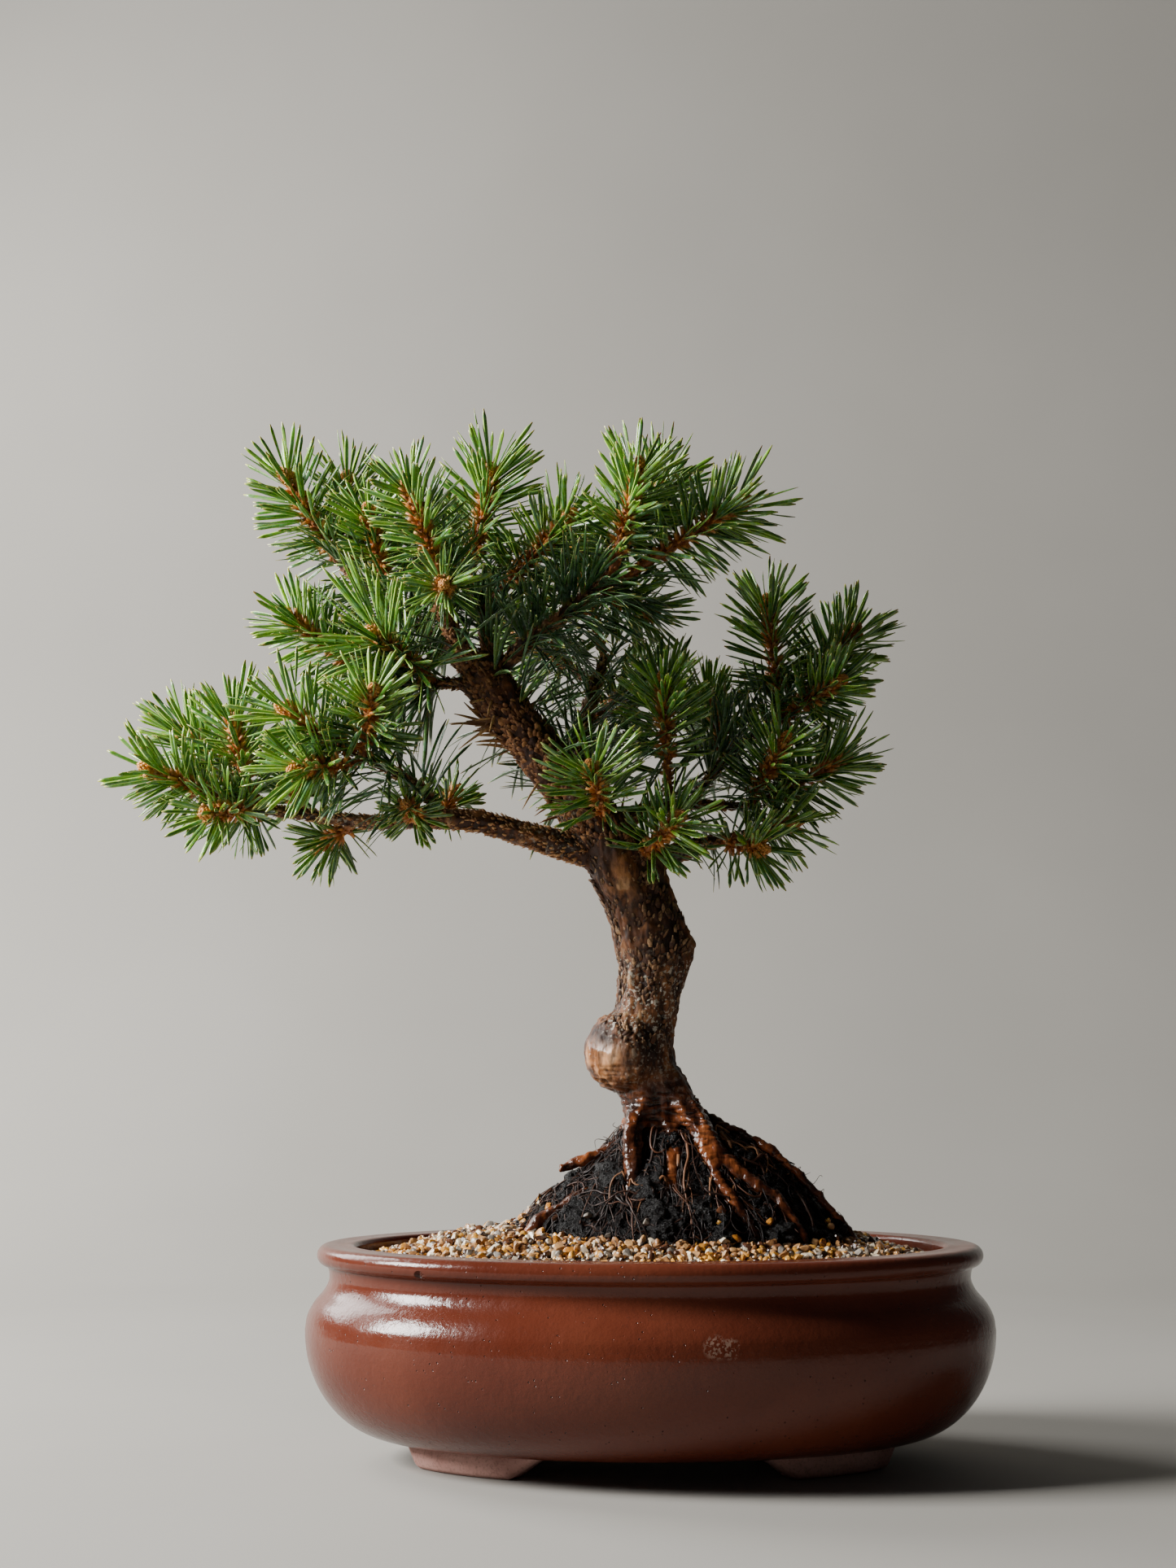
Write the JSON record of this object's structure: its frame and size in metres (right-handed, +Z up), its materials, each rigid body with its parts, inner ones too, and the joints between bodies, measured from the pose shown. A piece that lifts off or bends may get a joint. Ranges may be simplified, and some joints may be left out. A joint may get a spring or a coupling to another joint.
{
  "type": "pine bonsai in a pot",
  "caption": "Small pine bonsai with a burled, leaning trunk and exposed roots, planted in gritty soil in an oval brown glazed pot on four low feet.",
  "frame": {"origin": "middle of the whole object's footprint box, on the surface that the pot stands on", "axes": "+Z up; +X to the right seen from the front, away from the long left branch; -Y towards the front"},
  "size_m": [0.3254, 0.176, 0.3852],
  "materials": {
    "glaze": "semi-gloss reddish-brown glaze with fine pits",
    "bark": "flaky bark above, smooth wet red-brown root wood below",
    "twig_bark": "scaly young bark",
    "needles": "blue-green needles with yellow-green tips, orange-brown sheaths and buds",
    "grit": "mixed tan, cream and dark grit, damp",
    "peat": "black wet peat and fine roots",
    "soil": "damp potting soil",
    "mesh_plastic": "dark green mesh",
    "clip_wire": "bare wire"
  },
  "bodies": {
    "root": {"branch_lower_left": "twig_bark", "branch_lower_right": "twig_bark", "branch_mid_right": "twig_bark", "branch_rear": "twig_bark", "drainage_screen_left": "mesh_plastic", "drainage_screen_right": "mesh_plastic", "gravel": "grit", "peat": "peat", "pot": "glaze", "potting_soil": "soil", "screen_clip_left": "clip_wire", "screen_clip_right": "clip_wire", "shoot_01": "needles", "shoot_02": "needles", "shoot_03": "needles", "shoot_04": "needles", "shoot_05": "needles", "shoot_06": "needles", "shoot_07": "needles", "shoot_08": "needles", "shoot_09": "needles", "shoot_10": "needles", "shoot_11": "needles", "shoot_12": "needles", "shoot_13": "needles", "shoot_14": "needles", "shoot_15": "needles", "shoot_16": "needles", "shoot_17": "needles", "shoot_18": "needles", "shoot_19": "needles", "shoot_20": "needles", "shoot_21": "needles", "shoot_22": "needles", "shoot_23": "needles", "shoot_24": "needles", "shoot_25": "needles", "shoot_26": "needles", "shoot_27": "needles", "shoot_28": "needles", "shoot_29": "needles", "shoot_30": "needles", "shoot_31": "needles", "shoot_32": "needles", "shoot_33": "needles", "shoot_34": "needles", "shoot_35": "needles", "shoot_36": "needles", "shoot_37": "needles", "shoot_38": "needles", "shoot_39": "needles", "trunk": "bark", "twig_crown_centre": "twig_bark", "twig_crown_front": "twig_bark", "twig_crown_left": "twig_bark", "twig_crown_right": "twig_bark", "twig_lower_left": "twig_bark", "twig_mid_left": "twig_bark", "twig_right": "twig_bark"}
  },
  "joints": []
}
